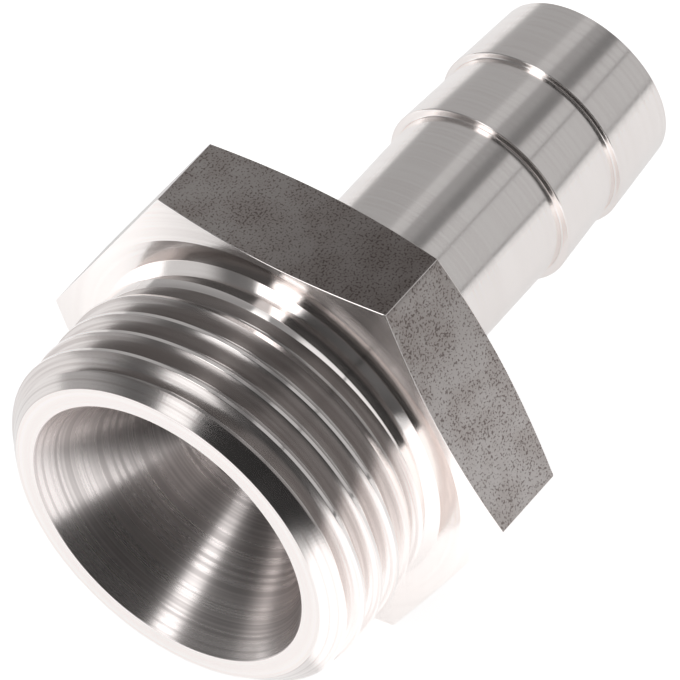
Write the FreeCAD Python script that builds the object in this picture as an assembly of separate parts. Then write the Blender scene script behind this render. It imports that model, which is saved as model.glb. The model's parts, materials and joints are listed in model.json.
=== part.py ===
import FreeCAD, Part
import math
import os

# Hose tail turned from one hexagon bar: a male parallel pipe thread with a conical mouth,
# a hexagon for the spanner, and a ribbed shank that a hose is pushed onto.
# Millimetres. It is drawn along its own axis, Z, with the shoulder that meets the port at
# Z = 0 and the hose end at +Z. At the end it is laid down on one flat of its hexagon.

# Thread, G 3/4: 14 turns to the inch, 55 degree form, its fine crests and roots drawn as flats
thread_diameter = 26.441
thread_pitch = 25.4 / 14
thread_length = 11.2            # shoulder to mouth face
thread_height = 0.640327 * thread_pitch
thread_flank_angle = 27.5       # each flank, from square to the axis
thread_last_groove = 2.62       # shoulder to the last groove, on the side that lies on top
thread_run_out = 0.754          # share of a turn that the groove runs on from there
thread_tool_overrun = 0.2       # how far the groove's section reaches out past the crests
mouth_face_diameter = 23.4      # where the 45 degree lead chamfer starts

# End of the thread, where its last ridge is turned down and falls into the relief
ridge_end_diameter = 25.76      # over its back edge
ridge_end_start = 3.75          # from the shoulder to where the turning down starts
ridge_end_ramp = 0.75           # length over which it reaches its depth
ridge_end_rise_angle = 14.0     # how steeply it widens again up to its back edge
ridge_end_back = 1.62           # from the shoulder to the ridge's back edge

# Relief between the thread and the shoulder
relief_start = 1.3              # from the shoulder to the foot of the last ridge
relief_floor_end = 0.57         # from the shoulder to the foot of the relief's far side
relief_floor_diameter = 24.56
relief_rim_diameter = 26.08     # where the far side meets the shoulder

# Hexagon
hex_across_flats = 30.0
hex_length = 7.1
hex_face_diameter = 29.2        # round flat face inside the chamfer
hex_chamfer_angle = 15.0        # from square to the axis

# Hose shank
shank_diameter = 12.9
shank_length = 28.1             # from the hexagon to the end
barb_count = 2
barb_length = 5.95
barb_crest_diameter = 14.0
barb_foot_diameter = 13.15
barb_edge_break = 0.1
end_edge_break = 0.1

# Way through
bore_diameter = 10.0
mouth_diameter = 20.6
mouth_half_angle = 30.0

thread_radius = thread_diameter / 2
root_radius = thread_radius - thread_height
relief_radius = relief_floor_diameter / 2
end_z = hex_length + shank_length


def point(radius, z):
    """A point of a half section: radius from the axis, and height along it."""
    return FreeCAD.Vector(radius, 0, z)


def lines(points):
    """Straight edges through the points in order."""
    return [Part.makeLine(a, b) for a, b in zip(points, points[1:])]


def revolve(edges):
    """Turn a closed half section once round the axis."""
    face = Part.Face(Part.Wire(edges))
    return face.revolve(FreeCAD.Vector(0, 0, 0), FreeCAD.Vector(0, 0, 1), 360)


def groove_section():
    """Section of the thread's groove: flat root and straight flanks, run on past the crests."""
    slope = math.tan(math.radians(thread_flank_angle))
    outside = thread_radius + thread_tool_overrun
    root_half = (thread_pitch / 2 - thread_height * slope) / 2
    top_half = root_half + (outside - root_radius) * slope
    corners = [point(root_radius, -root_half), point(root_radius, root_half),
               point(outside, top_half), point(outside, -top_half)]
    return Part.Wire(lines(corners + corners[:1]))


def thread_cutter():
    """Right-hand helical groove, from outside the mouth face to where it ends in the relief."""
    turns_before = math.ceil((thread_length - thread_last_groove) / thread_pitch) + 1
    turns = turns_before + thread_run_out
    helix = Part.makeLongHelix(thread_pitch, turns * thread_pitch, root_radius)
    sweep = Part.Wire(helix).makePipeShell([groove_section()], True, True)
    sweep.translate(FreeCAD.Vector(0, 0, -thread_last_groove - turns_before * thread_pitch))
    return sweep


def threaded_end():
    """From the mouth face to the relief's floor, with the lead chamfer, thread and last ridge."""
    face_radius = mouth_face_diameter / 2
    lead = thread_radius - face_radius
    ridge_radius = ridge_end_diameter / 2
    ridge_front = ridge_end_start - ridge_end_ramp
    rise = (ridge_front - ridge_end_back) * math.tan(math.radians(ridge_end_rise_angle))
    blank = revolve(lines([
        point(0, -thread_length), point(face_radius, -thread_length),
        point(thread_radius, -thread_length + lead), point(thread_radius, -ridge_end_start),
        point(ridge_radius - rise, -ridge_front), point(ridge_radius, -ridge_end_back),
        point(relief_radius, -relief_start), point(relief_radius, -relief_floor_end),
        point(0, -relief_floor_end), point(0, -thread_length)]))
    return blank.cut(thread_cutter())


def relief():
    """The side that rises from the relief's floor to the shoulder, on a core inside the hexagon."""
    rim_radius = relief_rim_diameter / 2
    inside = hex_length / 2
    return revolve(lines([
        point(0, -relief_floor_end), point(relief_radius, -relief_floor_end),
        point(rim_radius, 0), point(rim_radius, inside), point(0, inside),
        point(0, -relief_floor_end)]))


def hexagon():
    """Spanner hexagon, each end turned to a flat round face and a chamfer."""
    corner_radius = hex_across_flats / math.sqrt(3)
    angles = [math.radians(30 + 60 * i) for i in range(7)]
    corners = [FreeCAD.Vector(math.cos(a), math.sin(a), 0).multiply(corner_radius) for a in angles]
    bar = Part.Face(Part.makePolygon(corners)).extrude(FreeCAD.Vector(0, 0, hex_length))
    face_radius = hex_face_diameter / 2
    reach = corner_radius * 1.1
    drop = (reach - face_radius) * math.tan(math.radians(hex_chamfer_angle))
    turned = revolve(lines([
        point(0, 0), point(face_radius, 0), point(reach, drop), point(reach, hex_length - drop),
        point(face_radius, hex_length), point(0, hex_length), point(0, 0)]))
    return bar.common(turned)


def edges_broken(solid, width, circle_radius, from_z):
    """Chamfer the solid's circular edges of one radius that lie beyond a height."""
    edges = [edge for edge in solid.Edges if isinstance(edge.Curve, Part.Circle)
             and abs(edge.Curve.Radius - circle_radius) < 1e-4 and edge.Curve.Center.z > from_z]
    return solid.makeChamfer(width, edges)


def hose_shank():
    """Plain shank and barbs: each barb grows towards the hexagon and ends there in a step."""
    crest_radius = barb_crest_diameter / 2
    foot_radius = barb_foot_diameter / 2
    inside = hex_length / 2
    radius = shank_diameter / 2
    points = [point(0, inside), point(radius, inside)]
    for i in range(barb_count):
        step_z = end_z - (barb_count - i) * barb_length
        points += [point(radius, step_z), point(crest_radius, step_z)]
        radius = foot_radius
    points += [point(radius, end_z), point(0, end_z), points[0]]
    shank = edges_broken(revolve(lines(points)), barb_edge_break, crest_radius, inside)
    return edges_broken(shank, end_edge_break, foot_radius, end_z - barb_length / 2)


def way_through():
    """The conical mouth and the bore behind it, as the solid to take away."""
    bore_radius = bore_diameter / 2
    mouth_radius = mouth_diameter / 2
    slope = math.tan(math.radians(mouth_half_angle))
    cone_end = -thread_length + (mouth_radius - bore_radius) / slope
    past = 1.0
    return revolve(lines([
        point(0, -thread_length - past), point(mouth_radius + past * slope, -thread_length - past),
        point(bore_radius, cone_end), point(bore_radius, end_z + past),
        point(0, end_z + past), point(0, -thread_length - past)]))


def hose_tail():
    """The whole fitting as one solid, laid down with its axis along +X and flats up and down."""
    solid = relief().fuse([hexagon(), hose_shank(), threaded_end()]).removeSplitter()
    solid = solid.cut(way_through())
    solid.rotate(FreeCAD.Vector(0, 0, 0), FreeCAD.Vector(1, 0, 1), 180)
    return solid


os.makedirs("parts", exist_ok=True)
shape = hose_tail()
body = shape.Solids[0]
body.exportStep("parts/hose_tail.step")
print("solids", len(shape.Solids), "valid", shape.isValid(), "volume mm3", round(shape.Volume, 2))
print("box", shape.BoundBox)
print("centre of mass", body.CenterOfMass)
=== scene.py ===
"""Turned steel hose tail with a male pipe thread, shown lying on a white table.

The piece is modelled as it is made. A bar is turned to its outline and bored, six flats are
milled on its collar, and the thread is cut with a helical groove. Lengths are in metres.
"""

import json
import logging
import math
from dataclasses import dataclass, field
from enum import Enum

import bpy
from mathutils import Matrix, Vector


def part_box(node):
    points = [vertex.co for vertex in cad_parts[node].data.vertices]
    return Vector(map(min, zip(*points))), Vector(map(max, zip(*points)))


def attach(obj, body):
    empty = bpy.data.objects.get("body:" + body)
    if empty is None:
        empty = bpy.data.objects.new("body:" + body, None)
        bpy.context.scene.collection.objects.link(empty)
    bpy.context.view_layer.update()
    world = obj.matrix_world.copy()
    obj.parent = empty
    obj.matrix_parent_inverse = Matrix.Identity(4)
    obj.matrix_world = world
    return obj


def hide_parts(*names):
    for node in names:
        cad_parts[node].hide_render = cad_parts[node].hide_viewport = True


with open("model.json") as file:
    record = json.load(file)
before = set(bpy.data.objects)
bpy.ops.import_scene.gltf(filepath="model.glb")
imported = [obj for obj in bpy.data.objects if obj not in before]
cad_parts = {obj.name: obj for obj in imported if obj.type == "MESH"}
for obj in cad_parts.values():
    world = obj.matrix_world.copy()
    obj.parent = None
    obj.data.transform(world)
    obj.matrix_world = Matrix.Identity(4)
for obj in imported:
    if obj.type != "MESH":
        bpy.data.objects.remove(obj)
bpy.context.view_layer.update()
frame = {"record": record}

log = logging.getLogger("hose_tail")

MM = 0.001
NODE = "hose_tail"
FULL_TURN = math.tau
FACETS = 256
FLATS = 6
MERGE = 1e-7
UNSHADED = (1.0, 1.0)
WHITE = (1.0, 1.0, 1.0, 1.0)

# A Mix node names its sockets alike for every kind of data, so the colour ones go by number.
MIX_SHARE, MIX_FIRST, MIX_SECOND, MIX_RESULT = 0, 6, 7, 2

Span = tuple[float, float]
Colour = tuple[float, float, float, float]
Socket = bpy.types.NodeSocket


class Finish(Enum):
    """The finishes on the one piece, in the order of its material slots."""

    TURNED = 0
    THREAD = 1
    MOUTH = 2
    FLAT = 3
    SHANK = 4
    SHOULDER = 5
    CHAMFER = 6
    RIM = 7


@dataclass(frozen=True)
class RowFacts:
    """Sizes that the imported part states, in metres."""

    mouth_x: float
    end_x: float
    across_flats: float
    bore_radius: float
    thread_radius: float
    barb_radius: float

    @classmethod
    def read(cls) -> "RowFacts":
        """Read the sizes from the frame's box and its mounts.

        Returns:
            The sizes that scene and part share.
        """
        low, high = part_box(NODE)
        mounts = {mount["name"]: mount["dims"] for mount in frame["record"]["mounts"]}
        return cls(
            mouth_x=low.x,
            end_x=high.x,
            across_flats=high.z - low.z,
            bore_radius=mounts["flow_bore"]["r_mm"] * MM,
            thread_radius=mounts["male_thread"]["r_mm"] * MM,
            barb_radius=mounts["hose_shank"]["r_mm"] * MM,
        )


@dataclass
class Bench:
    """Small modelling steps in edit mode on one object at a time."""

    name: str
    piece: bpy.types.Object = field(init=False)

    def start(self, place: Vector) -> None:
        """Add a small plane and shrink it to the first vertex of an outline.

        Args:
            place: Where the outline starts.
        """
        deselect()
        bpy.ops.mesh.primitive_plane_add(size=MM, location=(0, 0, 0))
        self.piece = bpy.context.object
        self.piece.name = self.name
        self.piece.data.name = self.name
        bpy.ops.object.mode_set(mode="EDIT")
        bpy.ops.mesh.select_all(action="SELECT")
        bpy.ops.mesh.merge(type="CENTER")
        bpy.ops.transform.translate(value=place)

    def draw(self, places: list[Vector]) -> None:
        """Extrude the outline from place to place and close it.

        Args:
            places: The outline's corners in order, the first one left out at the end.
        """
        self.start(places[0])
        for before, after in zip(places, places[1:] + places[:1]):
            bpy.ops.mesh.extrude_vertices_move(TRANSFORM_OT_translate={"value": after - before})
        self.merge()

    def merge(self) -> None:
        """Merge vertices that share one place."""
        bpy.ops.mesh.select_all(action="SELECT")
        bpy.ops.mesh.remove_doubles(threshold=MERGE)

    def face_out(self) -> None:
        """Turn every face's normal outwards."""
        bpy.ops.mesh.select_all(action="SELECT")
        bpy.ops.mesh.normals_make_consistent(inside=False)

    def done(self) -> bpy.types.Object:
        """Leave edit mode and hand the object over."""
        bpy.ops.object.mode_set(mode="OBJECT")
        return self.piece


def deselect() -> None:
    """Leave nothing selected and nothing in edit mode."""
    if bpy.context.object and bpy.context.object.mode != "OBJECT":
        bpy.ops.object.mode_set(mode="OBJECT")
    bpy.ops.object.select_all(action="DESELECT")


def apply_modifier(piece: bpy.types.Object, name: str) -> None:
    """Apply one modifier of a piece.

    Args:
        piece: The object that carries it.
        name: The modifier's name.
    """
    deselect()
    bpy.context.view_layer.objects.active = piece
    piece.select_set(True)
    bpy.ops.object.modifier_apply(modifier=name)


def flat_normals() -> list[Vector]:
    """The directions that the spanner flats face, the first one upwards."""
    turns = [math.radians(360 / FLATS * i) for i in range(FLATS)]
    return [Vector((0, -math.sin(turn), math.cos(turn))) for turn in turns]


def rounded(corners: list[tuple[float, float, float]], steps: int) -> list[tuple[float, float]]:
    """Round the corners of an open line of a half section.

    Args:
        corners: Each corner's place along the axis, its radius from it, and its rounding.
        steps: Number of straight stretches in a rounding.

    Returns:
        The line's places, each rounded corner as an arc.
    """
    places = []
    for i, (along, out, rounding) in enumerate(corners):
        here = Vector((along, out))
        if rounding == 0 or i in (0, len(corners) - 1):
            places.append((along, out))
            continue
        back = (Vector(corners[i - 1][:2]) - here).normalized()
        ahead = (Vector(corners[i + 1][:2]) - here).normalized()
        half = back.angle(ahead) / 2
        centre = here + (back + ahead).normalized() * rounding / math.sin(half)
        first = (here + back * rounding / math.tan(half) - centre).normalized()
        last = (here + ahead * rounding / math.tan(half) - centre).normalized()
        for k in range(steps + 1):
            spoke = first.slerp(last, k / steps) * rounding
            places.append((centre.x + spoke.x, centre.y + spoke.y))
    return places


@dataclass
class TurnedBar:
    """The bar turned to its outline, with its bore and its spanner flats, before the thread."""

    facts: RowFacts
    mouth_radius: float = 10.3 * MM
    mouth_half_angle: float = 30.0
    mouth_face_radius: float = 11.7 * MM
    ridge_end_start: float = -3.75 * MM
    ridge_end_ramp: float = 1.15 * MM
    ridge_end_back: float = -1.62 * MM
    ridge_end_radius: float = 12.88 * MM
    ridge_end_rise: float = 14.0
    relief_start: float = -1.52 * MM
    relief_radius: float = 12.28 * MM
    relief_floor_end: float = -0.57 * MM
    relief_rim_radius: float = 13.04 * MM
    collar_length: float = 7.1 * MM
    collar_face_radius: float = 14.6 * MM
    collar_reach: float = 18.5 * MM
    collar_chamfer: float = 15.0
    shank_radius: float = 6.45 * MM
    barb_foot_radius: float = 6.575 * MM
    barb_length: float = 5.95 * MM
    barb_count: int = 2
    step_fillet: float = 0.12 * MM
    edge_round: float = 0.06 * MM
    crest_round: float = 0.1 * MM
    ridge_round: float = 0.05 * MM
    end_break: float = 0.1 * MM
    round_steps: int = 4

    def outline(self) -> list[tuple[float, float]]:
        """Draw the closed half section: outside from mouth to hose end, back through the bore.

        Returns:
            Its places, each as length along the axis and radius from it.
        """
        facts = self.facts
        edge = self.edge_round
        lead = facts.thread_radius - self.mouth_face_radius
        reach = self.collar_reach
        drop = (reach - self.collar_face_radius) * math.tan(math.radians(self.collar_chamfer))
        mouth_slope = math.tan(math.radians(self.mouth_half_angle))
        cone_length = (self.mouth_radius - facts.bore_radius) / mouth_slope
        ridge_front = self.ridge_end_start + self.ridge_end_ramp
        rise = (self.ridge_end_back - ridge_front) * math.tan(math.radians(self.ridge_end_rise))
        inside = 2 * edge
        corners = [
            (facts.mouth_x + inside, self.mouth_radius - inside * mouth_slope, 0.0),
            (facts.mouth_x, self.mouth_radius, edge),
            (facts.mouth_x, self.mouth_face_radius, edge),
            (facts.mouth_x + lead, facts.thread_radius, edge),
            (self.ridge_end_start, facts.thread_radius, 0.0),
            (ridge_front, self.ridge_end_radius - rise, 0.0),
            (self.ridge_end_back, self.ridge_end_radius, self.ridge_round),
            (self.relief_start, self.relief_radius, 0.0),
            (self.relief_floor_end, self.relief_radius, 0.0),
            (0.0, self.relief_rim_radius, edge),
            (0.0, self.collar_face_radius, edge),
            (drop, reach, 0.0),
            (self.collar_length - drop, reach, 0.0),
            (self.collar_length, self.collar_face_radius, edge),
            (self.collar_length, self.shank_radius, self.step_fillet),
        ]
        radius = self.shank_radius
        for i in range(self.barb_count):
            step = facts.end_x - (self.barb_count - i) * self.barb_length
            corners += [
                (step, radius, self.step_fillet),
                (step, facts.barb_radius, self.crest_round),
            ]
            radius = self.barb_foot_radius
        corners += [
            (facts.end_x, radius, self.end_break),
            (facts.end_x, facts.bore_radius, edge),
            (facts.mouth_x + cone_length, facts.bore_radius, 0.0),
        ]
        return rounded(corners, self.round_steps)

    def build(self) -> bpy.types.Object:
        """Turn the outline round the axis and mill the flats.

        Returns:
            The bar as a closed mesh.
        """
        bench = Bench("hose_tail_body")
        bench.draw([Vector((x, 0, radius)) for x, radius in self.outline()])
        bpy.ops.mesh.select_all(action="SELECT")
        bpy.ops.mesh.spin(steps=FACETS, angle=FULL_TURN, center=(0, 0, 0), axis=(1, 0, 0))
        bench.merge()
        bench.face_out()
        for out in flat_normals():
            place = out * self.facts.across_flats / 2
            bpy.ops.mesh.select_all(action="SELECT")
            bpy.ops.mesh.bisect(plane_co=place, plane_no=out, use_fill=True, clear_outer=True)
        bench.merge()
        bench.face_out()
        return bench.done()


@dataclass
class ThreadGroove:
    """The tool's helical path, as the solid that is cut away."""

    facts: RowFacts
    pitch: float = 25.4 / 14 * MM
    flank_angle: float = 27.5
    height_share: float = 0.640327
    root_round: float = 0.08 * MM
    bend_share: float = 0.65
    bend_round: float = 2.0 * MM
    crest_open: float = 0.025 * MM
    crest_round: float = 0.06 * MM
    crest_parts: int = 3
    last_groove: float = -2.62 * MM
    turns: int = 7
    facets_short: int = 9
    overrun: float = 0.5 * MM
    lift: float = 0.004 * MM
    round_steps: int = 4

    def section(self) -> list[tuple[float, float]]:
        """Draw the groove's section about its middle, with the crests' rounded sides.

        Returns:
            Its places, each as length along the axis and radius from it.
        """
        height = self.height_share * self.pitch
        slope = math.tan(math.radians(self.flank_angle))
        crest = self.facts.thread_radius + self.lift
        half_root = (self.pitch / 2 - height * slope) / 2
        half_mouth = half_root + height * slope + self.crest_open
        half_crest = self.pitch / 2 - half_mouth
        land = self.pitch / 2 - half_crest / self.crest_parts
        outside = crest + self.overrun
        bend = height * self.bend_share
        right = [
            (half_root, crest - height, self.root_round),
            (half_root + bend * slope, crest - height + bend, self.bend_round),
            (half_mouth, crest, self.crest_round),
            (land, crest, 0.0),
            (land, outside, 0.0),
        ]
        left = [(-along, out, rounding) for along, out, rounding in reversed(right)]
        return rounded(left + right, self.round_steps)

    def build(self) -> bpy.types.Object:
        """Sweep the section along the helix, each turn some facets short, to end at the relief.

        Returns:
            The cutter as a closed mesh.
        """
        start = self.last_groove - (self.turns - 1) * self.pitch
        bench = Bench("thread_groove")
        bench.draw([Vector((start + x, 0, radius)) for x, radius in self.section()])
        cutter = bench.done()
        screw = cutter.modifiers.new("helix", "SCREW")
        screw.axis = "X"
        steps = FACETS - self.facets_short
        share = steps / FACETS
        screw.angle = FULL_TURN * share
        screw.screw_offset = self.pitch * share
        screw.iterations = self.turns
        screw.steps = steps
        screw.render_steps = steps
        screw.use_merge_vertices = False
        apply_modifier(cutter, "helix")
        bpy.ops.object.mode_set(mode="EDIT")
        bench.merge()
        bpy.ops.mesh.select_all(action="DESELECT")
        bpy.ops.mesh.select_non_manifold()
        bpy.ops.mesh.edge_face_add()
        bench.face_out()
        return bench.done()


@dataclass
class HoseTail:
    """The whole fitting: turned bar, flats, thread and finishes."""

    facts: RowFacts
    bar: TurnedBar
    edge_bevel: float = 0.03 * MM
    bevel_steps: int = 2
    normal_weight: int = 100
    sharp_angle: float = 17.0
    flat_tilt: float = 0.01
    flat_depth: float = 0.01 * MM
    flat_reach: float = 0.99
    inwards: float = -1e-9
    flank_slope: float = 0.65
    root_radius: float = 12.5 * MM
    shoulder_slope: float = 0.99
    chamfer_slope: float = 0.9
    shoulder_depth: float = 0.1 * MM

    def build(self) -> bpy.types.Object:
        """Make the fitting's mesh.

        Returns:
            The piece that stands for the CAD node.
        """
        body = self.bar.build()
        groove = ThreadGroove(self.facts).build()
        cut = body.modifiers.new("thread", "BOOLEAN")
        cut.operation = "DIFFERENCE"
        cut.solver = "EXACT"
        cut.object = groove
        apply_modifier(body, "thread")
        bpy.data.objects.remove(groove)
        deselect()
        bpy.context.view_layer.objects.active = body
        body.select_set(True)
        self.break_edges(body)
        bpy.ops.object.shade_smooth_by_angle(angle=math.radians(self.sharp_angle))
        weighted = body.modifiers.new("weighted", "WEIGHTED_NORMAL")
        weighted.mode = "FACE_AREA"
        weighted.weight = self.normal_weight
        weighted.keep_sharp = True
        apply_modifier(body, "weighted")
        return body

    def is_flat_edge(self, places: list[Vector]) -> bool:
        """Whether an edge bounds one of the spanner flats."""
        apothem = self.facts.across_flats / 2
        return any(all(abs(p.dot(out) - apothem) < MERGE for p in places) for out in flat_normals())

    def break_edges(self, body: bpy.types.Object) -> None:
        """Round off the edges of the spanner flats.

        Args:
            body: The fitting.
        """
        bpy.ops.object.mode_set(mode="EDIT")
        bpy.ops.mesh.select_mode(type="EDGE")
        bpy.ops.mesh.select_all(action="DESELECT")
        bpy.ops.object.mode_set(mode="OBJECT")
        places = [vertex.co for vertex in body.data.vertices]
        for edge in body.data.edges:
            edge.select = self.is_flat_edge([places[i] for i in edge.vertices])
        bpy.ops.object.mode_set(mode="EDIT")
        bpy.ops.mesh.bevel(
            offset=self.edge_bevel, segments=self.bevel_steps, affect="EDGES", clamp_overlap=True
        )
        bpy.ops.mesh.select_mode(type="VERT")
        bpy.ops.object.mode_set(mode="OBJECT")

    def dress(self, body: bpy.types.Object, finishes: dict[Finish, bpy.types.Material]) -> None:
        """Give each face the finish of the surface it lies on.

        Args:
            body: The fitting.
            finishes: One material for each finish.
        """
        for finish in Finish:
            body.data.materials.append(finishes[finish])
        apothem = self.facts.across_flats / 2
        for face in body.data.polygons:
            face.material_index = self.finish_of(face, apothem).value

    def finish_of(self, face: bpy.types.MeshPolygon, apothem: float) -> Finish:
        """Name the finish of one face.

        Args:
            face: The face.
            apothem: Distance of the spanner flats from the axis.

        Returns:
            Its finish.
        """
        normal, centre = face.normal, face.center
        radial = math.hypot(centre.y, centre.z)
        outwards = normal.y * centre.y + normal.z * centre.z
        in_plane = abs(normal.dot(centre) - apothem) < self.flat_depth
        if in_plane and abs(normal.x) < self.flat_tilt and radial > self.flat_reach * apothem:
            return Finish.FLAT
        if outwards < self.inwards:
            return Finish.MOUTH
        if normal.x < -self.shoulder_slope and centre.x < self.facts.mouth_x + self.shoulder_depth:
            return Finish.RIM
        cut = outwards / radial < self.flank_slope or radial < self.root_radius
        lead_end = self.facts.mouth_x + self.facts.thread_radius - self.bar.mouth_face_radius
        if centre.x < lead_end or (cut and centre.x < self.bar.ridge_end_back):
            return Finish.THREAD
        if centre.x > self.bar.collar_length:
            return Finish.SHANK
        if normal.x < -self.shoulder_slope and abs(centre.x) < self.shoulder_depth:
            return Finish.SHOULDER
        if normal.x < -self.chamfer_slope and centre.x > 0.0:
            return Finish.CHAMFER
        return Finish.TURNED


def new_material(name: str) -> tuple[bpy.types.Material, bpy.types.Node]:
    """Make a material with an empty tree but its output and one Principled shader.

    Args:
        name: The material's name.

    Returns:
        The material and its Principled node.
    """
    material = bpy.data.materials.new(name)
    material.use_nodes = True
    tree = material.node_tree
    tree.nodes.clear()
    output = tree.nodes.new("ShaderNodeOutputMaterial")
    shader = tree.nodes.new("ShaderNodeBsdfPrincipled")
    tree.links.new(shader.outputs["BSDF"], output.inputs["Surface"])
    return material, shader


class Wiring:
    """Short calls to place and join nodes in one tree."""

    def __init__(self, tree: bpy.types.NodeTree) -> None:
        """Keep the tree.

        Args:
            tree: The node tree to work in.
        """
        self.tree = tree

    def add(self, kind: str, **settings: object) -> bpy.types.Node:
        """Add a node and set its properties.

        Args:
            kind: The node's type name.
            settings: Properties to set on it.

        Returns:
            The node.
        """
        node = self.tree.nodes.new(kind)
        for key, value in settings.items():
            setattr(node, key, value)
        return node

    def feed(self, socket: Socket, value: object) -> None:
        """Link a socket, or set a plain value on it.

        Args:
            socket: The input.
            value: An output socket, or a value.
        """
        if isinstance(value, Socket):
            self.tree.links.new(value, socket)
        else:
            socket.default_value = value

    def math(self, operation: str, *values: object) -> Socket:
        """Combine values by one operation.

        Args:
            operation: Blender's name of the operation.
            values: Sockets or numbers.

        Returns:
            The result's socket.
        """
        node = self.add("ShaderNodeMath", operation=operation)
        for socket, value in zip(node.inputs, values):
            self.feed(socket, value)
        return node.outputs[0]

    def ramp(
        self, value: object, low: float, high: float, at_low: object = 0.0, at_high: object = 1.0
    ) -> Socket:
        """Ease a value from one level to another between two places.

        Args:
            value: The socket that is read.
            low: Where the change starts.
            high: Where it ends.
            at_low: Result at and before the start.
            at_high: Result at and after the end.

        Returns:
            The result's socket.
        """
        node = self.add("ShaderNodeMapRange", interpolation_type="SMOOTHSTEP")
        names = ("Value", "From Min", "From Max", "To Min", "To Max")
        for name, part in zip(names, (value, low, high, at_low, at_high)):
            self.feed(node.inputs[name], part)
        return node.outputs["Result"]

    def mix(self, share: object, first: object, second: object, blend: str = "MIX") -> Socket:
        """Mix two colours.

        Args:
            share: How much of the second.
            first: A colour or socket.
            second: A colour or socket.
            blend: Blender's name of the way they mix.

        Returns:
            The mixed colour's socket.
        """
        node = self.add("ShaderNodeMix", data_type="RGBA", blend_type=blend)
        self.feed(node.inputs[MIX_SHARE], share)
        self.feed(node.inputs[MIX_FIRST], first)
        self.feed(node.inputs[MIX_SECOND], second)
        return node.outputs[MIX_RESULT]

    def multiply(self, first: object, second: object) -> Socket:
        """Multiply two colours, each one a colour or a socket."""
        return self.mix(1.0, first, second, "MULTIPLY")

    def place(self) -> Socket:
        """The place on the piece, in its own coordinates."""
        return self.add("ShaderNodeTexCoord").outputs["Object"]

    def split(self, vector: Socket) -> tuple[Socket, Socket, Socket]:
        """Take a vector apart.

        Args:
            vector: The vector's socket.

        Returns:
            Its x, y and z.
        """
        node = self.add("ShaderNodeSeparateXYZ")
        self.feed(node.inputs[0], vector)
        return node.outputs[0], node.outputs[1], node.outputs[2]

    def noise(
        self,
        place: Socket,
        scale: float,
        detail: float,
        roughness: float,
        fourth: Socket | None = None,
    ) -> Socket:
        """Read a noise texture.

        Args:
            place: Where it is read.
            scale: Its scale.
            detail: How many finer layers it has.
            roughness: How strong the finer layers are.
            fourth: Its fourth coordinate, or nothing for noise of three.

        Returns:
            The noise's socket.
        """
        node = self.add("ShaderNodeTexNoise", noise_dimensions="3D" if fourth is None else "4D")
        self.feed(node.inputs["Vector"], place)
        if fourth is not None:
            self.feed(node.inputs["W"], fourth)
        for name, value in (("Scale", scale), ("Detail", detail), ("Roughness", roughness)):
            node.inputs[name].default_value = value
        return node.outputs[0]

    def bump(self, height: Socket, strength: float, depth: float) -> Socket:
        """Turn a height into a surface normal.

        Args:
            height: The height's socket, from 0 to 1.
            strength: How much of the bump shows.
            depth: The length that a height of 1 stands for.

        Returns:
            The normal's socket.
        """
        node = self.add("ShaderNodeBump")
        node.inputs["Strength"].default_value = strength
        node.inputs["Distance"].default_value = depth
        self.feed(node.inputs["Height"], height)
        return node.outputs["Normal"]


def new_group(
    name: str, inputs: tuple[str, ...], outputs: tuple[str, ...]
) -> tuple[Wiring, bpy.types.Node, bpy.types.Node]:
    """Make a node group whose sockets are plain numbers.

    Args:
        name: The group's name.
        inputs: Names of its inputs.
        outputs: Names of its outputs.

    Returns:
        Its wiring, the node that gives its inputs and the node that takes its outputs.
    """
    group = bpy.data.node_groups.new(name, "ShaderNodeTree")
    for side, labels in (("INPUT", inputs), ("OUTPUT", outputs)):
        for label in labels:
            group.interface.new_socket(label, in_out=side, socket_type="NodeSocketFloat")
    wiring = Wiring(group)
    return wiring, wiring.add("NodeGroupInput"), wiring.add("NodeGroupOutput")


def group_node(wiring: Wiring, group: bpy.types.NodeTree, **values: object) -> bpy.types.Node:
    """Place a node group and set its inputs.

    Args:
        wiring: The tree to place it in.
        group: The group.
        values: Input names, with underscores for spaces, and their values.

    Returns:
        The group's node.
    """
    node = wiring.add("ShaderNodeGroup", node_tree=group)
    for key, value in values.items():
        wiring.feed(node.inputs[key.replace("_", " ")], value)
    return node


def build_turning_marks() -> bpy.types.NodeTree:
    """Make the group of fine grooves that a lathe tool leaves round the axis.

    Returns:
        The group, with a Height and a Streak output.
    """
    wiring, source, result = new_group(
        "turning_marks", ("Spacing", "Wander", "Seed"), ("Height", "Streak")
    )
    spacing, wander = source.outputs["Spacing"], source.outputs["Wander"]
    x, y, z = wiring.split(wiring.place())
    square = wiring.math("ADD", wiring.math("MULTIPLY", y, y), wiring.math("MULTIPLY", z, z))
    radius = wiring.math("SQRT", square)
    along = wiring.math("DIVIDE", x, spacing)
    out = wiring.math("DIVIDE", radius, spacing)
    across = wiring.math("MULTIPLY", wiring.math("DIVIDE", y, radius), wander)
    up = wiring.math("MULTIPLY", wiring.math("DIVIDE", z, radius), wander)
    lines = wiring.add("ShaderNodeCombineXYZ")
    for socket, value in zip(lines.inputs, (along, out, across)):
        wiring.feed(socket, value)
    fourth = wiring.math("ADD", up, source.outputs["Seed"])
    fine = wiring.noise(lines.outputs[0], scale=1.0, detail=2.0, roughness=0.6, fourth=fourth)
    broad = wiring.noise(lines.outputs[0], scale=0.22, detail=1.0, roughness=0.5, fourth=fourth)
    wiring.feed(result.inputs["Height"], fine)
    wiring.feed(result.inputs["Streak"], broad)
    return wiring.tree


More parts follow.
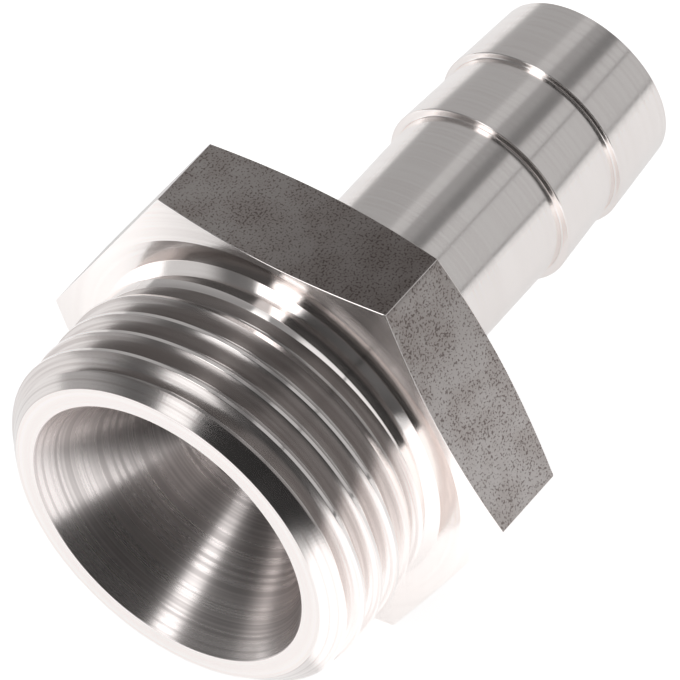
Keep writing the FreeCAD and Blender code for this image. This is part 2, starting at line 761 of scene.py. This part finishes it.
def build_pits() -> bpy.types.NodeTree:
    """Make the group of small dark pits in drawn bar, gathered in patches.

    Returns:
        The group, with a Pit mask, a Height and a Tint output.
    """
    patch_pull = 0.16
    pit_edge = 0.17
    wiring, source, result = new_group("pits", ("Size", "Amount"), ("Pit", "Height", "Tint"))
    scaled = wiring.add("ShaderNodeVectorMath", operation="SCALE")
    wiring.feed(scaled.inputs[0], wiring.place())
    wiring.feed(scaled.inputs["Scale"], wiring.math("DIVIDE", 1.0, source.outputs["Size"]))
    grain = wiring.noise(scaled.outputs[0], scale=1.0, detail=1.0, roughness=0.5)
    patch = wiring.noise(scaled.outputs[0], scale=0.07, detail=1.0, roughness=0.5)
    edge = wiring.math("MULTIPLY_ADD", patch, patch_pull, source.outputs["Amount"])
    pit = wiring.ramp(wiring.math("SUBTRACT", edge, grain), 0.0, pit_edge)
    wiring.feed(result.inputs["Pit"], pit)
    wiring.feed(result.inputs["Height"], wiring.math("SUBTRACT", grain, pit))
    wiring.feed(result.inputs["Tint"], patch)
    return wiring.tree


@dataclass(frozen=True)
class TurnedSteel:
    """Bright steel with the tool's grooves running round the axis.

    Its colour may be darkened by place across the fitting, a painted shade that stands for the
    darker
    reflections of the room: shade holds the factors at both ends of shade_fade, and shade_start is
    where the painted shade sets in.
    """

    name: str
    marks: bpy.types.NodeTree
    colour: Colour = (0.93, 0.885, 0.865, 1.0)
    dull: Colour = (0.90, 0.85, 0.83, 1.0)
    colour_streak: Span = (0.35, 0.65)
    roughness: float = 0.1
    duller: float = 0.05
    rough_streak: Span = (0.3, 0.7)
    spacing: float = 0.05 * MM
    wander: float = 0.3
    seed: float = 0.0
    groove_depth: float = 0.0005 * MM
    groove_strength: float = 1.0
    anisotropy: float = 0.7
    anisotropy_turn: float = 0.25
    shade: Span = UNSHADED
    shade_fade: Span = (4.0 * MM, 12.5 * MM)
    shade_start: Span = (-1.0 * MM, -0.3 * MM)

    def build(self) -> bpy.types.Material:
        """Make the material.

        Returns:
            The material.
        """
        material, shader = new_material(self.name)
        wiring = Wiring(material.node_tree)
        marks = group_node(
            wiring, self.marks, Spacing=self.spacing, Wander=self.wander, Seed=self.seed
        )
        streak = marks.outputs["Streak"]
        metal = wiring.mix(wiring.ramp(streak, *self.colour_streak), self.dull, self.colour)
        # Painted shade: the colour is darkened by place across the fitting, standing for darker
        # reflections.
        if self.shade != UNSHADED:
            across = wiring.split(wiring.place())[1]
            faded = wiring.ramp(across, *self.shade_fade, *self.shade)
            metal = wiring.multiply(metal, wiring.ramp(across, *self.shade_start, 1.0, faded))
        wiring.feed(shader.inputs["Base Color"], metal)
        roughest = self.roughness + self.duller
        rough = wiring.ramp(streak, *self.rough_streak, roughest, self.roughness)
        wiring.feed(shader.inputs["Roughness"], rough)
        shader.inputs["Metallic"].default_value = 1.0
        shader.inputs["Anisotropic"].default_value = self.anisotropy
        shader.inputs["Anisotropic Rotation"].default_value = self.anisotropy_turn
        normal = wiring.bump(marks.outputs["Height"], self.groove_strength, self.groove_depth)
        wiring.feed(shader.inputs["Normal"], normal)
        tangent = wiring.add("ShaderNodeTangent", direction_type="RADIAL", axis="X")
        wiring.feed(shader.inputs["Tangent"], tangent.outputs[0])
        return material


@dataclass(frozen=True)
class PittedFlat:
    """Dull drawn steel of the spanner flats.

    Its colour is painted darker and lighter across the fitting, painted shade and painted light
    that stand for the room's reflections: from middling to dark over the top flat, and from
    middling to bright over the flat beside it, from where that flat starts.
    """

    name: str
    pits: bpy.types.NodeTree
    colour: Colour = (0.88, 0.86, 0.85, 1.0)
    worn: Colour = WHITE
    # Painted shade and painted light: dark, middling and bright are shaded and lit tones of the one
    # steel.
    dark: Colour = (0.24, 0.215, 0.205, 1.0)
    middling: Colour = (0.46, 0.425, 0.41, 1.0)
    bright: Colour = (0.64, 0.60, 0.585, 1.0)
    top_flat_shade_fade: Span = (8.6 * MM, -8.2 * MM)
    side_flat_light_start: Span = (-8.5 * MM, -8.9 * MM)
    side_flat_light_fade: Span = (-8.9 * MM, -15.0 * MM)
    pit_shade: Colour = (0.56, 0.52, 0.51, 1.0)
    patch_streak: Span = (0.35, 0.65)
    roughness: float = 0.38
    pit_roughness: float = 0.25
    # Painted sheen: the colour turns pale where a flat is seen at a glancing angle.
    grazing_sheen: Span = (0.8, 0.97)
    grazing_sheen_colour: Colour = (0.9, 0.87, 0.86, 1.0)
    pit_size: float = 0.15 * MM
    pit_amount: float = 0.41
    pit_depth: float = 0.02 * MM
    pit_strength: float = 0.3

    def build(self) -> bpy.types.Material:
        """Make the material.

        Returns:
            The material.
        """
        material, shader = new_material(self.name)
        wiring = Wiring(material.node_tree)
        pits = group_node(wiring, self.pits, Size=self.pit_size, Amount=self.pit_amount)
        across = wiring.split(wiring.place())[1]
        # Painted shade over the top flat and painted light over the flat beside it, by place across
        # the fitting.
        top = wiring.mix(wiring.ramp(across, *self.top_flat_shade_fade), self.middling, self.dark)
        side = wiring.mix(wiring.ramp(across, *self.side_flat_light_fade), self.middling, self.bright)
        painted_light_tone = wiring.mix(wiring.ramp(across, *self.side_flat_light_start), top, side)
        patch = wiring.ramp(pits.outputs["Tint"], *self.patch_streak)
        metal = wiring.multiply(painted_light_tone, wiring.mix(patch, self.worn, self.colour))
        pitted = wiring.mix(pits.outputs["Pit"], metal, wiring.multiply(metal, self.pit_shade))
        # Painted sheen: paler colour where the flat is seen at a glancing angle.
        facing = wiring.add("ShaderNodeLayerWeight").outputs["Facing"]
        grazing_sheen = wiring.ramp(facing, *self.grazing_sheen)
        wiring.feed(shader.inputs["Base Color"], wiring.mix(grazing_sheen, pitted, self.grazing_sheen_colour))
        roughest = self.roughness + self.pit_roughness
        rough = wiring.ramp(pits.outputs["Pit"], 0.0, 1.0, self.roughness, roughest)
        wiring.feed(shader.inputs["Roughness"], rough)
        shader.inputs["Metallic"].default_value = 1.0
        normal = wiring.bump(pits.outputs["Height"], self.pit_strength, self.pit_depth)
        wiring.feed(shader.inputs["Normal"], normal)
        return material


@dataclass
class Studio:
    """White table, the room that the steel mirrors, and the camera.

    The room's fields are directions and strengths. A pair is where a change starts and where it
    ends, or the values at its two ends, along x (the fitting), y (across it) or z (up).
    """

    facts: RowFacts
    lens: float = 522.4
    sensor: float = 36.0
    nearest: float = 0.01
    camera_place: Vector = field(default_factory=lambda: Vector((-0.32568, -0.24444, 0.47154)))
    forward: Vector = field(default_factory=lambda: Vector((0.53203, 0.39008, -0.75152)))
    right: Vector = field(default_factory=lambda: Vector((0.57329, -0.81913, -0.01932)))
    table_size: float = 0.28
    table_middle: float = 0.06
    table_gap: float = 0.01 * MM
    table_glow: float = 0.8
    room_scale: float = 0.8
    # Painted light: the glow that the steel mirrors fades along the table.
    mirrored_glow: Span = (1.0, 0.5)
    mirrored_fade: Span = (-0.08, -0.04)
    table_end: Span = (-0.5, -0.1)
    table_drop: Span = (0.11, 0.29)
    table_drop_side: Span = (-0.46, -0.38)
    horizon: Span = (-0.02, 0.0)
    table_colour: Colour = (0.8, 0.8, 0.8, 1.0)
    front_dark: float = 0.04
    front_side: float = 0.22
    front_side_fade: Span = (0.3, 0.5)
    front_low: Span = (0.045, 0.15)
    front_low_side: Span = (-0.55, -0.3)
    front_far: float = 0.8
    front_far_side: Span = (0.58, 0.72)
    front_rise: Span = (0.02, 0.4)
    back_level: float = 0.62
    back_far: float = 0.48
    back_grey: float = 0.39
    back_dark: float = 0.23
    shade_start: Span = (-0.33, -0.27)
    shade: Span = (-0.17, -0.02)
    window: Span = (0.09, 0.13)
    window_end: Span = (0.26, 0.36)
    window_level: float = 0.62
    ledge_direction: tuple[float, float, float] = (0.0, -0.823, -0.568)
    ledge_offset: float = 0.106
    ledge_width: float = 0.014
    ledge_level: float = 0.13
    ledge_dim: float = 0.22
    skirting: Span = (0.02, 0.05)
    skirting_side: Span = (-0.2, 0.0)
    ceiling_start: Span = (-0.2, -0.08)
    ceiling_end: Span = (0.22, 0.36)
    ceiling_side: Span = (-0.25, -0.08)
    ceiling_level: float = 1.1
    ceiling_dim: float = 0.35
    strip_far_edge: Span = (-0.085, 0.375)
    strip_near_turn: Span = (-0.85, -0.5)
    strip_near_edge: Span = (0.15, 0.11)
    strip_back_turn: Span = (-0.3, 0.3)
    strip_back_shift: float = 0.06
    strip_blur: float = 0.03
    strip_end: Span = (-0.2, 0.5)
    strip_level: float = 2.4

    def add_camera(self) -> None:
        """Place the camera at the photograph's viewing angle."""
        data = bpy.data.cameras.new("camera")
        data.lens = self.lens
        data.sensor_width = self.sensor
        data.sensor_fit = "HORIZONTAL"
        data.clip_start = self.nearest
        camera = bpy.data.objects.new("camera", data)
        bpy.context.scene.collection.objects.link(camera)
        back = -self.forward.normalized()
        right = (self.right - back * self.right.dot(back)).normalized()
        up = back.cross(right)
        turn = Matrix((right, up, back)).transposed().to_4x4()
        camera.matrix_world = Matrix.Translation(self.camera_place) @ turn
        bpy.context.scene.camera = camera

    def add_table(self) -> None:
        """Lay the white table under the fitting."""
        deselect()
        middle = (self.table_middle, 0, -self.facts.across_flats / 2 - self.table_gap)
        bpy.ops.mesh.primitive_plane_add(size=self.table_size, location=middle)
        table = bpy.context.object
        table.name = "table"
        material = bpy.data.materials.new("table_white")
        material.use_nodes = True
        tree = material.node_tree
        tree.nodes.clear()
        wiring = Wiring(tree)
        output = wiring.add("ShaderNodeOutputMaterial")
        diffuse = wiring.add("ShaderNodeBsdfDiffuse")
        diffuse.inputs["Color"].default_value = self.table_colour
        glow = wiring.add("ShaderNodeEmission")
        rays = wiring.add("ShaderNodeLightPath")
        along = wiring.split(wiring.place())[0]
        # Painted light: the mirrored glow fades along x, a painted falloff of light from one end of
        # the table to the other.
        faded = wiring.ramp(along, *self.mirrored_fade, *self.mirrored_glow)
        glossy, through = rays.outputs["Is Glossy Ray"], rays.outputs["Is Transmission Ray"]
        seen = wiring.math("MAXIMUM", glossy, through)
        mirrored = wiring.math("MULTIPLY", seen, faded)
        direct = wiring.math("MULTIPLY", rays.outputs["Is Camera Ray"], self.table_glow)
        wiring.feed(glow.inputs["Strength"], wiring.math("MAXIMUM", direct, mirrored))
        both = wiring.add("ShaderNodeAddShader")
        wiring.feed(both.inputs[0], diffuse.outputs[0])
        wiring.feed(both.inputs[1], glow.outputs[0])
        wiring.feed(output.inputs["Surface"], both.outputs[0])
        table.data.materials.append(material)

    def add_light(self) -> None:
        """Light the room through the world: dark in front, grey behind, one long strip above."""
        world = bpy.data.worlds.new("room")
        bpy.context.scene.world = world
        world.use_nodes = True
        tree = world.node_tree
        tree.nodes.clear()
        wiring = Wiring(tree)
        output = wiring.add("ShaderNodeOutputWorld")
        background = wiring.add("ShaderNodeBackground")
        background.inputs["Color"].default_value = WHITE
        wiring.feed(output.inputs["Surface"], background.outputs[0])
        direction = wiring.add("ShaderNodeTexCoord").outputs["Generated"]
        wiring.feed(background.inputs["Strength"], self.room_level(wiring, direction))

    def room_level(self, wiring: Wiring, direction: Socket) -> Socket:
        """Brightness of the room by direction, white where the camera sees it.

        Args:
            wiring: The world's tree.
            direction: The direction, with x along the fitting, y across it and z up.

        Returns:
            The strength's socket.
        """
        x, y, z = wiring.split(direction)
        room = wiring.math("MULTIPLY", self.walls(wiring, x, y, z), self.ledge(wiring, direction))
        strip = self.strip(wiring, x, y)
        level = wiring.ramp(x, *self.strip_end, self.strip_level, self.window_level)
        kept = wiring.math("MULTIPLY", room, wiring.math("SUBTRACT", 1.0, strip))
        lit = wiring.math("MULTIPLY_ADD", strip, level, kept)
        drop = wiring.ramp(y, *self.table_drop_side, *self.table_drop)
        lowered = wiring.math("ADD", z, wiring.ramp(x, *self.table_end, drop, 0.0))
        above_table = wiring.ramp(lowered, *self.horizon, 1.0, lit)
        scaled = wiring.math("MULTIPLY", above_table, self.room_scale)
        rays = wiring.add("ShaderNodeLightPath")
        return wiring.math("MAXIMUM", scaled, rays.outputs["Is Camera Ray"])

    def walls(self, wiring: Wiring, x: Socket, y: Socket, z: Socket) -> Socket:
        """Brightness of the front, the back and the ceiling.

        Args:
            wiring: The world's tree.
            x: The direction's part along the fitting.
            y: Its part across.
            z: Its part upwards.

        Returns:
            The level's socket.
        """
        side = wiring.ramp(y, *self.front_side_fade, self.front_dark, self.front_side)
        near = wiring.ramp(y, *self.front_low_side, *self.front_low)
        low = wiring.ramp(y, *self.front_far_side, near, self.front_far)
        front = wiring.ramp(z, *self.front_rise, low, side)
        window = wiring.ramp(y, *self.window, self.back_grey, self.window_level)
        shade = wiring.ramp(y, *self.shade, self.back_dark, window)
        past = wiring.ramp(y, *self.shade_start, self.back_level, shade)
        far = wiring.ramp(y, *self.window_end, past, self.back_far)
        skirting = wiring.ramp(z, *self.skirting, self.ledge_level, far)
        back = wiring.ramp(y, *self.skirting_side, skirting, far)
        overhead = wiring.ramp(y, *self.ceiling_side, self.ceiling_level, self.ceiling_dim)
        ceiling = wiring.ramp(x, *self.ceiling_end, overhead, back)
        return wiring.ramp(x, *self.ceiling_start, front, ceiling)

    def ledge(self, wiring: Wiring, direction: Socket) -> Socket:
        """The thin dark ledge that crosses the room, as a factor of its brightness.

        Args:
            wiring: The world's tree.
            direction: The direction.

        Returns:
            The factor's socket.
        """
        across = wiring.add("ShaderNodeVectorMath", operation="DOT_PRODUCT")
        wiring.feed(across.inputs[0], direction)
        across.inputs[1].default_value = self.ledge_direction
        past = wiring.math("SUBTRACT", across.outputs["Value"], self.ledge_offset)
        off = wiring.math("ABSOLUTE", past)
        return wiring.ramp(off, self.ledge_width / 2, self.ledge_width, self.ledge_dim, 1.0)

    def strip(self, wiring: Wiring, x: Socket, y: Socket) -> Socket:
        """The long bright strip above, as a mask.

        Args:
            wiring: The world's tree.
            x: The direction's part along the fitting.
            y: Its part across.

        Returns:
            The mask's socket, 1 inside the strip.
        """
        far_edge = wiring.math("MULTIPLY_ADD", x, *self.strip_far_edge)
        turned = wiring.ramp(x, *self.strip_back_turn, 0.0, self.strip_back_shift)
        straight = wiring.ramp(x, *self.strip_near_turn, *self.strip_near_edge)
        near_edge = wiring.math("ADD", straight, turned)
        over = wiring.ramp(wiring.math("SUBTRACT", y, near_edge), 0.0, self.strip_blur)
        under = wiring.ramp(wiring.math("SUBTRACT", far_edge, y), 0.0, self.strip_blur)
        return wiring.math("MULTIPLY", over, under)


def build_finishes() -> dict[Finish, bpy.types.Material]:
    """Make one material for each finish.

    Returns:
        The materials by finish.
    """
    marks = build_turning_marks()
    pits = build_pits()
    return {
        Finish.TURNED: TurnedSteel("turned_steel", marks).build(),
        # Painted shade and painted light: the thread is darkened to 0.61 except on its side towards
        # -y, which stays lighter, standing for the reflections there.
        Finish.THREAD: TurnedSteel(
            "thread_steel", marks, colour=(0.93, 0.88, 0.86, 1.0), dull=(0.77, 0.71, 0.69, 1.0),
            roughness=0.2, seed=3.0, shade=(0.61, 0.61), shade_start=(-11.3 * MM, -10.4 * MM),
        ).build(),
        Finish.MOUTH: TurnedSteel(
            "mouth_steel", marks, colour=(0.78, 0.73, 0.715, 1.0), dull=(0.54, 0.50, 0.49, 1.0),
            roughness=0.26, seed=7.0, spacing=0.06 * MM, groove_depth=0.0009 * MM,
        ).build(),
        Finish.FLAT: PittedFlat("pitted_steel", pits).build(),
        Finish.SHANK: TurnedSteel("shank_steel", marks, roughness=0.16, seed=5.0).build(),
        # Painted reflection: the shoulder face and the collar's chamfer are darkened on the +y
        # side, most strongly just past the middle, standing for the darker things they mirror.
        Finish.SHOULDER: TurnedSteel("shoulder_steel", marks, seed=9.0, shade=(0.36, 0.86)).build(),
        Finish.CHAMFER: TurnedSteel("chamfer_steel", marks, seed=9.0, shade=(0.6, 0.86)).build(),
        # Painted shade: the rim is a darker copy of the turned steel, dimming the white table that
        # it mirrors.
        Finish.RIM: TurnedSteel(
            "rim_steel", marks, colour=(0.73, 0.69, 0.675, 1.0), dull=(0.70, 0.66, 0.645, 1.0),
            roughness=0.2, seed=3.0,
        ).build(),
    }


def main() -> None:
    """Build the fitting, dress it and set the studio round it."""
    logging.basicConfig(level=logging.INFO, format="%(name)s: %(message)s")
    scene = bpy.context.scene
    scene.view_settings.view_transform = "Standard"
    facts = RowFacts.read()
    tail = HoseTail(facts, TurnedBar(facts))
    body = tail.build()
    tail.dress(body, build_finishes())
    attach(body, "root")
    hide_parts(NODE)
    mesh = body.data
    log.info("%s: %d vertices, %d faces", body.name, len(mesh.vertices), len(mesh.polygons))
    studio = Studio(facts)
    studio.add_table()
    studio.add_light()
    studio.add_camera()


if __name__ == "__main__":
    main()
